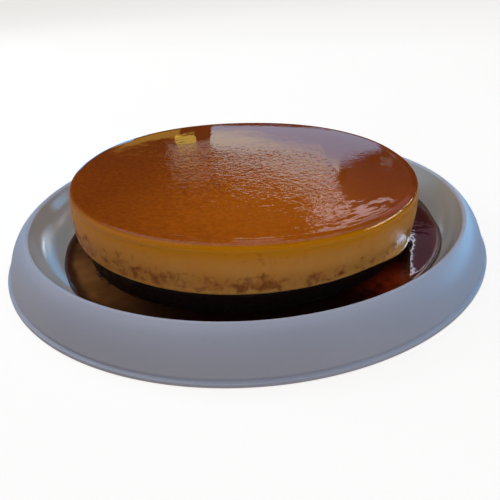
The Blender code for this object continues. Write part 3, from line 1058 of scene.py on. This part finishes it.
class MakeFlan(bpy.types.Operator):
    """Makes the custard with its pores and stained marbling."""

    bl_idname = "chocoflan.make_flan"
    bl_label = "Custard flan"

    def execute(self, context):
        dish, food, stage = settings_of(context)
        angle = even_angles(FLAN_POINTS)
        low = food.cake_top + LAYER_GAP
        high = food.flan_top + FLAN_SINK
        heights = [low, low, *np.linspace(low + LAYER_GAP, high, FLAN_ROWS), high]
        levels = [0.0, 0.0, *np.linspace(0.0, 1.0, FLAN_ROWS), 1.0]
        insets = np.zeros(len(heights))
        insets[: len(FLAN_FOOT_INSETS)] = FLAN_FOOT_INSETS
        insets[-2:] = FLAN_TOP_INSET, FLAN_COVERED
        rings = []
        for height, inset in zip(heights, insets):
            rings.append(food_points(food, dish, angle, flan_radius(food, angle, height) - inset, height))
        rings = np.array(rings)
        level = np.repeat(np.array(levels)[:, None], len(angle), axis=1)
        # The stains are uneven round the foot, densest over it, and fade out upwards.
        patchy = 0.15 * (0.5 + 0.5 * np.cos(3.0 * angle - 1.0)) + 0.10 * np.cos(7.0 * angle + 0.4)
        stain = np.clip(0.42 + 0.58 * towards(angle, STAINS_AT) ** 3 + patchy, 0.0, 1.0)
        reach = 0.62 + 0.24 * towards(angle, HIGH_STAINS_AT) ** 4
        band = 1.0 - ramp(level / reach, 0.4, 0.6)
        band = band * band * (3.0 - 2.0 * band) * (0.15 + 0.85 * ramp(level, 0.0, 0.16))
        pore = bell(level, 0.26, 0.16) * (0.34 - 0.10 * stain)
        pore[:3] = 0.0
        wet = 2.0 * lobe(angle, food.wet_foot_turn, 0.010) * np.clip(1.6 - level / 0.30, 0.0, 1.0)
        values = {
            "level": level,
            "stain_share": np.clip(band * stain, 0.0, 1.0),
            "pore_share": pore,
            # Painted light, strongest low on the front right.
            "painted_light_share": 1.25 * towards(angle, PAINTED_LIGHT_AT) ** 2 * (1.0 - 0.92 * level),
            "wet": np.clip(wet, 0.0, 1.0),
            "amber_share": np.repeat(amber_share(angle)[None, :], len(level), axis=0),
        }
        hubs = [food_points(food, dish, 0.0, 0.0, h).tolist() for h in (low, high)]
        obj = ring_body("flan_custard", rings, values, hubs)
        grow(
            obj,
            pore_tree("custard_pores"),
            custard_material(food),
            stage.seed,
            pore_depth=0.0005,
            pore_spacing=0.0052,
            pore_radius=0.50,
            uneven_height=0.00010,
            uneven_spacing=0.0060,
        )
        settle(obj, "custard", "flan")
        return {"FINISHED"}


class MakeCaramel(bpy.types.Operator):
    """Makes the glossy caramel top with its rounded rim and ripples."""

    bl_idname = "chocoflan.make_caramel"
    bl_label = "Caramel top"

    def execute(self, context):
        dish, food, stage = settings_of(context)
        disc, quads, outer = disc_grid(CARAMEL_CELLS)
        reach = np.hypot(disc[:, 0], disc[:, 1])
        turn = np.arctan2(disc[:, 1], disc[:, 0])
        rounding = food.caramel_round * (1.0 + 0.6 * towards(turn, 180.0) ** 2)
        rim = food.caramel_radius - rounding + flan_wave(food, turn, 0.0)
        top = food_points(food, dish, turn, rim * reach, food.caramel_top)
        top[:, 2] += food.crowning * (1.0 - ramp(reach, 0.84, 0.16) ** 2)
        lip = bell(rim * (1.0 - reach), food.lip_inset, food.lip_width)
        top[:, 2] += food.lip_height * towards(turn, -90.0) * lip
        points = [top]
        edge = [np.zeros(len(top))]
        faces = [quads]
        angle = turn[outer]
        count = len(outer)
        total = len(top)
        levels = []
        drop = food.caramel_top - food.flan_top
        widest = food.caramel_radius + flan_wave(food, angle, 0.0)
        under = flan_radius(food, angle, food.flan_top)
        overhang = widest - under - CARAMEL_PROUD
        for part in np.linspace(0.0, 1.0, CARAMEL_EDGE_ROWS + 1)[1:]:
            swing = part * math.pi / 2.0
            radius = widest - rounding[outer] * (1.0 - math.sin(swing))
            radius = radius - overhang * part**2 * (3.0 - 2.0 * part)
            levels.append((radius, food.caramel_top - drop * (1.0 - math.cos(swing)), part))
        levels.append((under - CARAMEL_COVERED, food.flan_top, 1.0))
        above = None
        for radius, height, tone in levels:
            points.append(food_points(food, dish, angle, radius, height))
            edge.append(np.full(count, tone))
            ring = np.arange(total, total + count)
            upper = outer if above is None else above
            faces.append(np.column_stack([upper, ring, np.roll(ring, -1), np.roll(upper, -1)]))
            above = ring
            total += count
        points.append(food_points(food, dish, 0.0, 0.0, food.flan_top)[None, :])
        edge.append(np.array([1.0]))
        faces.append(np.column_stack([above, np.full(count, total), np.roll(above, -1)]))
        points = np.vstack(points)
        edge = np.concatenate(edge)
        x = points[:, 0] - food.centre_x
        y = points[:, 1] - food.centre_y
        radius = np.hypot(x, y)
        turn = np.arctan2(y, x)
        # The folds run near the front right rim. The back and the right are nearly free of grain.
        folded = towards(turn, FOLDS_AT) ** 4 * ramp(radius / food.caramel_radius, 0.45, 0.5)
        settled = ramp(y, 0.022, 0.030)
        still = ramp(x, 0.054, 0.004)
        left = ramp(-x, 0.010, 0.05)
        grain = (1.0 - 0.85 * np.maximum(settled, still)) * (1.0 - 0.5 * left)
        calm = 1.0 - 0.9 * still * ramp(y, -0.066, 0.010)
        bead = bell(edge, 0.28, 0.16) * (0.15 + 0.85 * towards(turn, BEADS_AT) ** 2)
        # The caramel is lighter towards the front middle.
        thin = np.exp(-((x - 0.008) ** 2) / (2.0 * 0.042**2) - (y + 0.075) ** 2 / (2.0 * 0.050**2))
        values = {
            "edge": edge,
            "ripple_share": (0.06 + 0.94 * folded) * calm,
            "grain_share": grain * (1.0 - 0.6 * folded),
            "bead_share": bead,
            "front_lightness": 0.55 * thin,
            "flow": np.column_stack([radius, FOLD_RADIUS * np.cos(turn), FOLD_RADIUS * np.sin(turn)]),
            "amber_share": amber_share(turn),
        }
        obj = new_mesh("caramel_top", points, faces, values)
        grow(
            obj,
            caramel_ripple_tree(),
            caramel_material(food),
            stage.seed + 4,
            ripple_height=0.00046,
            ripple_spacing=0.0054,
            swell_height=0.00012,
            swell_spacing=0.035,
            grain_height=0.00012,
            grain_spacing=0.0030,
            bead_height=0.00012,
            bead_spacing=0.0017,
        )
        settle(obj, "caramel", "caramel_layer")
        return {"FINISHED"}


class MakeCrumbs(bpy.types.Operator):
    """Strews crumbs of the cake along its foot in the syrup."""

    bl_idname = "chocoflan.make_crumbs"
    bl_label = "Loose crumbs"

    def execute(self, context):
        dish, food, stage = settings_of(context)
        angle = even_angles(CRUMB_BAND_POINTS)
        near, far = CRUMB_BAND
        rings = []
        for reach, depth in ((near, 0.0), (far, 0.0), (far, CRUMB_BAND_DEPTH), (near, CRUMB_BAND_DEPTH)):
            radius = cake_radius(food, dish, angle, food.syrup_level) + reach
            band = food_points(food, dish, angle, radius, food.syrup_level)
            band[:, 2] = food.syrup_level - depth
            rings.append(band)
        obj = ring_body("loose_crumbs", np.array(rings), looped=True)
        material = bpy.data.materials.get("moist_chocolate") or cake_material(food)
        grow(
            obj,
            crumb_tree(),
            material,
            stage.seed + 6,
            crumb_density=55000.0,
            smallest_crumb=0.00035,
            largest_crumb=0.0010,
        )
        settle(obj, "moist_chocolate")
        return {"FINISHED"}


# ---------------------------------------------------------------- light, floor and camera


# The usual aim of the lights, and the place of the window that has a light for each of two pieces.
FOOD = (0.0, 0.0, 0.03)
RIGHT_WINDOW = (1.45, 0.75, 0.22)
# Tints of the windows in the caramel and of the glint on the wet foot.
SUNNY = (1.0, 0.84, 0.66)
WET = (0.55, 0.80, 1.15)
# Lights that shine on everything: name, place, aim, width, height, radiance, tint, whether gloss mirrors it.
OPEN_LIGHTS = (
    ("ceiling", (0.2, 0.3, 2.2), (0.2, 0.3, 0.0), 4.0, 3.6, 0.74, (0.80, 0.87, 1.06), True),
    ("front_fill", (0.0, -3.0, 0.9), FOOD, 5.0, 1.6, 0.73, (0.92, 0.90, 1.0), False),
    ("front_right", (1.3, -1.3, 0.6), FOOD, 0.8, 0.8, 0.9, (0.70, 0.90, 1.25), False),
    ("window_left", (-1.4, 0.8, 0.9), FOOD, 1.2, 1.0, 2.7, (0.86, 0.90, 1.04), False),
    ("lamp", (-0.15, 1.19, 0.38), (-0.15, 0.0, 0.38), 0.06, 0.035, 1.4, (1.0, 0.75, 0.12), True),
)
# Lights that touch one piece only, in the same order, by piece.
PIECE_LIGHTS = {
    "dish_glazed": (
        ("dish_right", RIGHT_WINDOW, FOOD, 1.6, 0.40, 7.2, (0.02, 0.46, 1.0), False),
        ("dish_behind", (-0.55, 0.60, 0.16), (-0.1, 0.1, 0.02), 0.3, 0.2, 14.0, (0.06, 0.50, 1.0), False),
        ("dish_sheen", (1.45, 0.75, 0.30), FOOD, 1.6, 0.5, 3.4, (0.25, 0.60, 1.0), True),
        ("dish_wall", (0.0, 0.02, 0.18), (0.135, 0.02, 0.035), 0.10, 0.04, 3.0, (1.0, 0.88, 0.70), False),
    ),
    "flan_custard": (
        ("flan_right", RIGHT_WINDOW, FOOD, 1.6, 0.40, 2.2, (0.62, 0.62, 0.62), False),
        ("flan_foot", (0.1025, -0.063, 0.0125), (0.082, -0.078, 0.026), 0.022, 0.006, 2.1, WET, True),
    ),
    "caramel_top": (
        ("caramel_gap", (1.35, 0.80, 0.66), FOOD, 0.6, 0.07, 26.0, SUNNY, True),
        ("caramel_slit", (1.50, 0.0, 0.50), FOOD, 0.9, 0.10, 26.0, SUNNY, True),
    ),
}
# Edges that the cards of the big window share, as points across and up.
SILL = ((-0.07, 0.30), (0.48, 0.30), (0.48, 0.39), (0.43, 0.425), (0.34, 0.465))
MIDDLE = ((0.22, 0.42), (0.09, 0.38), (-0.07, 0.355))
LINTEL = ((-0.07, 0.42), (0.02, 0.455), (0.11, 0.475), (0.20, 0.525), (0.33, 0.54))
# Glowing upright cards that gloss mirrors, by the depth and the slant of the plane that they stand in:
# name, glow, and outline across and up.
CARDS = {
    (1.2, 0.0): (
        ("window_low", (0.56, 0.80, 1.15), (*SILL, *MIDDLE)),
        ("window_middle", (1.265, 1.298, 1.155), (SILL[-1], *MIDDLE, *LINTEL)),
        ("window_side", (1.87, 1.53, 1.615), ((0.26, 0.62), (0.53, 0.62), (0.52, 0.76), (0.28, 0.76))),
        ("wall_rose", (0.52, 0.23, 0.31), ((0.55, 0.64), (0.80, 0.64), (0.80, 0.95), (0.55, 0.95))),
        ("wall_maroon", (0.24, 0.06, 0.07), ((0.55, 0.55), (0.80, 0.55), (0.80, 0.64), (0.55, 0.64))),
        ("wall_plum", (0.08, 0.04, 0.06), ((0.36, 0.46), (0.64, 0.44), (0.64, 0.56), (0.36, 0.60))),
        ("wall_haze", (0.52, 0.46, 0.42), ((-0.21, 0.41), (-0.07, 0.39), (-0.07, 0.48), (-0.19, 0.48))),
        ("wall_olive", (0.65, 0.42, 0.08), ((-0.42, 0.30), (-0.17, 0.30), (-0.17, 0.385), (-0.38, 0.39))),
    ),
    (1.19, 0.0): (
        ("door_edge", (4.5, 4.5, 5.5), ((0.55, 0.64), (0.556, 0.64), (0.556, 0.84), (0.55, 0.84))),
        ("glint", (2.88, 3.52, 3.52), ((0.465, 0.441), (0.512, 0.434), (0.514, 0.436), (0.467, 0.443))),
    ),
    (0.08, -0.5): (
        ("wall_blue", (0.36, 1.2, 2.3), ((-0.19, 0.02), (-0.097, 0.02), (-0.097, 0.07), (-0.19, 0.07))),
    ),
    (0.079, -0.5): (
        ("low_glint", (8.1, 9.9, 11.7), ((-0.101, 0.030), (-0.086, 0.030), (-0.086, 0.036), (-0.101, 0.036))),
        ("high_glint", (5.4, 6.6, 7.8), ((-0.104, 0.053), (-0.082, 0.041), (-0.082, 0.046), (-0.104, 0.058))),
    ),
}
# The floor is flat to this radius and rises beyond it, so that low views see it behind the object.
FLOOR_HALF = 15.0
FLOOR_LINES = 13
FLAT_RADIUS = 6.0
FLOOR_RISE = 0.06
# The sensor is as wide as the lens is long, in millimetres.
LENS = 36.0
LENS_SHIFT = (-0.0153, -0.0066)


def soft_light(name, place, aim, wide, tall, radiance, tint, mirrored, only=None):
    """An even rectangular light, hidden from the camera. One that only one piece mirrors lights nothing."""
    light = bpy.data.lights.new(name, "AREA")
    light.shape = "RECTANGLE"
    light.size = wide
    light.size_y = tall
    light.color = tint
    light.energy = radiance * math.pi * wide * tall
    obj = bpy.data.objects.new(name, light)
    bpy.context.scene.collection.objects.link(obj)
    obj.location = place
    obj.rotation_euler = (Vector(aim) - Vector(place)).to_track_quat("-Z", "Y").to_euler()
    obj.visible_camera = False
    obj.visible_glossy = mirrored
    obj.visible_diffuse = only is None or not mirrored
    if only is not None:
        touched = bpy.data.collections.new(name)
        touched.objects.link(bpy.data.objects[only])
        obj.light_linking.receiver_collection = touched


def glow_card(name, glow, outline, depth, slant):
    """An evenly glowing upright card that the camera doesn't show, turned aside by its slant."""
    material = bpy.data.materials.new(name)
    material.use_nodes = True
    shader = material.node_tree.nodes["Principled BSDF"]
    strongest = max(glow)
    shader.inputs["Base Color"].default_value = (0.0, 0.0, 0.0, 1.0)
    shader.inputs["Specular IOR Level"].default_value = 0.0
    shader.inputs["Emission Color"].default_value = (*(part / strongest for part in glow), 1.0)
    shader.inputs["Emission Strength"].default_value = strongest
    mesh = bpy.data.meshes.new(name)
    mesh.from_pydata([(x, depth + slant * x, z) for x, z in outline], [], [tuple(range(len(outline)))])
    mesh.materials.append(material)
    card = bpy.data.objects.new(name, mesh)
    bpy.context.scene.collection.objects.link(card)
    card.visible_camera = False


def make_floor():
    """The pale floor. It neither lights the object nor shows in its gloss."""
    side = np.linspace(-FLOOR_HALF, FLOOR_HALF, FLOOR_LINES)
    across, along = np.meshgrid(side, side)
    rise = FLOOR_RISE * np.clip(np.hypot(across, along) - FLAT_RADIUS, 0.0, None) ** 2
    index = np.arange(across.size).reshape(across.shape)
    points = np.column_stack([across.ravel(), along.ravel(), rise.ravel()])
    floor = new_mesh("floor", points, [grid_quads(index)], {})
    floor.data.materials.append(floor_material())
    floor.visible_diffuse = False
    floor.visible_glossy = False


def make_room(stage):
    """The dim light of the room all round, with the table's glow from below."""
    world = bpy.data.worlds.new("soft_room")
    bpy.context.scene.world = world
    world.use_nodes = True
    sky = world.node_tree
    upward = put(sky, "ShaderNodeSeparateXYZ")
    join(sky, (put(sky, "ShaderNodeTexCoord").outputs["Generated"], upward.inputs[0]))
    below = rescale(sky, upward.outputs[2], 0.02, -0.15)
    join(sky, (blend(sky, below, stage.room, stage.table_glow), sky.nodes["Background"].inputs["Color"]))


def look_matrix(place, yaw, pitch, roll):
    """The camera's place and turn from its heading, its downward tilt and its roll."""
    ahead = Vector((math.sin(yaw) * math.cos(pitch), math.cos(yaw) * math.cos(pitch), -math.sin(pitch)))
    level_right = Vector((math.cos(yaw), -math.sin(yaw), 0.0))
    level_up = level_right.cross(ahead)
    right = level_right * math.cos(roll) + level_up * math.sin(roll)
    up = level_up * math.cos(roll) - level_right * math.sin(roll)
    return Matrix.Translation(place) @ Matrix((right, up, -ahead)).transposed().to_4x4()


def make_camera(stage):
    """The camera, close in front of the dish and a little above it."""
    data = bpy.data.cameras.new("view")
    data.sensor_width = LENS
    data.lens = LENS
    data.clip_start = 0.01
    data.shift_x, data.shift_y = LENS_SHIFT
    camera = bpy.data.objects.new("view", data)
    place = (stage.camera_x, stage.camera_y, stage.camera_z)
    camera.matrix_world = look_matrix(place, stage.camera_heading, stage.camera_tilt, stage.camera_roll)
    bpy.context.scene.collection.objects.link(camera)
    bpy.context.scene.camera = camera


class MakeStage(bpy.types.Operator):
    """Makes the pale floor, the soft lights and the camera."""

    bl_idname = "chocoflan.make_stage"
    bl_label = "Stage"

    def execute(self, context):
        stage = settings_of(context)[2]
        make_floor()
        make_room(stage)
        for row in OPEN_LIGHTS:
            soft_light(*row)
        for piece, rows in PIECE_LIGHTS.items():
            for row in rows:
                soft_light(*row, only=piece)
        for plane, rows in CARDS.items():
            for row in rows:
                glow_card(*row, *plane)
        make_camera(stage)
        context.scene.view_settings.view_transform = "Standard"
        return {"FINISHED"}


class ChocoflanPanel(bpy.types.Panel):
    """Lists the pieces of the chocoflan."""

    bl_idname = "VIEW3D_PT_chocoflan"
    bl_label = "Chocoflan"
    bl_space_type = "VIEW_3D"
    bl_region_type = "UI"
    bl_category = "Chocoflan"

    def draw(self, context):
        for maker in MAKERS:
            self.layout.operator(maker.bl_idname)


MAKERS = (MakeDish, MakeSyrup, MakeCake, MakeFlan, MakeCaramel, MakeCrumbs, MakeStage)
CLASSES = (DishSettings, FoodSettings, StageSettings, ChocoflanSettings, *MAKERS, ChocoflanPanel)


def register():
    for item in CLASSES:
        bpy.utils.register_class(item)
    bpy.types.Scene.chocoflan = PointerProperty(type=ChocoflanSettings)


def unregister():
    del bpy.types.Scene.chocoflan
    for item in reversed(CLASSES):
        bpy.utils.unregister_class(item)


def plain(box):
    return [[float(value) for value in corner] for corner in box]


def main():
    register()
    bpy.ops.chocoflan.make_dish()
    bpy.ops.chocoflan.make_syrup()
    bpy.ops.chocoflan.make_cake()
    bpy.ops.chocoflan.make_flan()
    bpy.ops.chocoflan.make_caramel()
    bpy.ops.chocoflan.make_crumbs()
    bpy.ops.chocoflan.make_stage()


if __name__ == "__main__":
    main()
